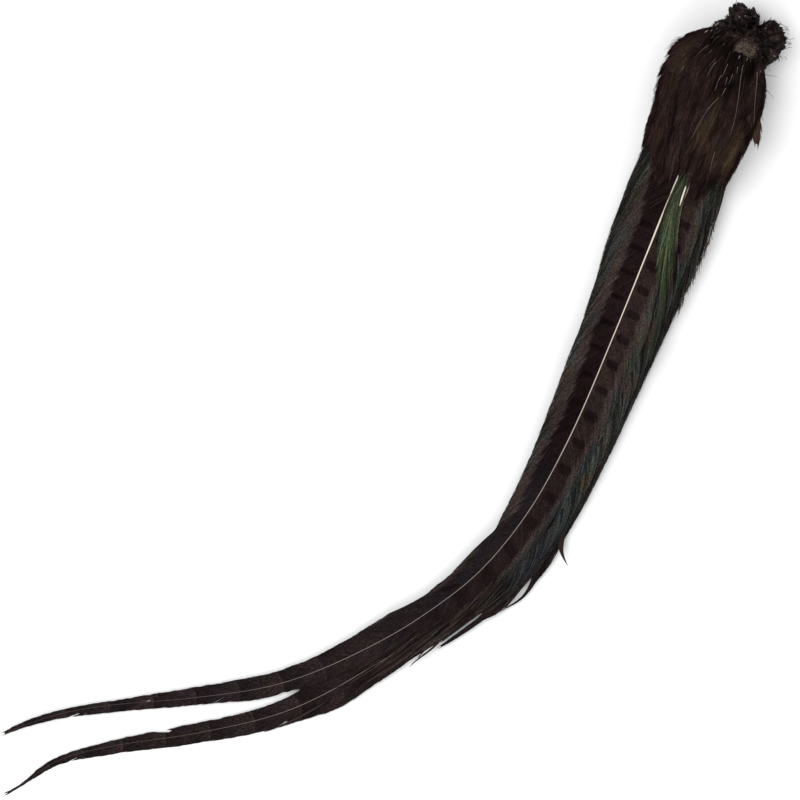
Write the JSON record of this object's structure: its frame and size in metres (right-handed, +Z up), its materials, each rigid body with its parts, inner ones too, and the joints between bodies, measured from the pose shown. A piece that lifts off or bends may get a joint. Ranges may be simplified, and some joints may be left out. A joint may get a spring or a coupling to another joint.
{
  "type": "pheasant tail",
  "caption": "Dried tail of a dark cock pheasant: a fan of long barred feathers closed into a bundle, with short coverts over and under their roots and a stump of skin.",
  "frame": {"origin": "under the root of the tail, on the flat underside of the stump that it rests on", "axes": "+X from the root towards the tips, the way of the longest extent; +Z up, away from the surface that it lies on, the way of the shortest extent; the tail bows towards +Y"},
  "size_m": [0.5108, 0.1332, 0.0255],
  "materials": {
    "tail_feather": "satin",
    "green_covert": "satin",
    "covert": "matte",
    "skin": "matte"
  },
  "bodies": {
    "root": {"central_tail_feather_left": "tail_feather", "central_tail_feather_right": "tail_feather", "long_upper_covert": "green_covert", "tail_feather_left_2": "tail_feather", "tail_feather_left_3": "tail_feather", "tail_feather_left_4": "tail_feather", "tail_feather_left_5": "tail_feather", "tail_feather_left_6": "tail_feather", "tail_feather_left_7": "tail_feather", "tail_feather_left_8": "tail_feather", "tail_feather_left_9": "tail_feather", "tail_feather_right_2": "tail_feather", "tail_feather_right_3": "tail_feather", "tail_feather_right_4": "tail_feather", "tail_feather_right_5": "tail_feather", "tail_feather_right_6": "tail_feather", "tail_feather_right_7": "tail_feather", "tail_feather_right_8": "tail_feather", "tail_feather_right_9": "tail_feather", "tail_stump": "skin", "under_covert_1_1": "covert", "under_covert_1_2": "covert", "under_covert_1_3": "covert", "under_covert_1_4": "covert", "under_covert_2_1": "covert", "under_covert_2_2": "covert", "under_covert_2_3": "covert", "upper_covert_1_1": "covert", "upper_covert_1_2": "covert", "upper_covert_1_3": "covert", "upper_covert_1_4": "covert", "upper_covert_1_5": "covert", "upper_covert_2_1": "covert", "upper_covert_2_2": "covert", "upper_covert_2_3": "covert", "upper_covert_2_4": "covert", "upper_covert_2_5": "covert", "upper_covert_3_1": "covert", "upper_covert_3_2": "covert", "upper_covert_3_3": "covert", "upper_covert_3_4": "covert", "upper_covert_3_5": "covert", "upper_covert_4_1": "covert", "upper_covert_4_2": "covert", "upper_covert_4_3": "covert", "upper_covert_4_4": "covert", "upper_covert_4_5": "covert", "upper_covert_5_1": "covert", "upper_covert_5_2": "covert", "upper_covert_5_3": "covert", "upper_covert_5_4": "covert"}
  },
  "joints": []
}
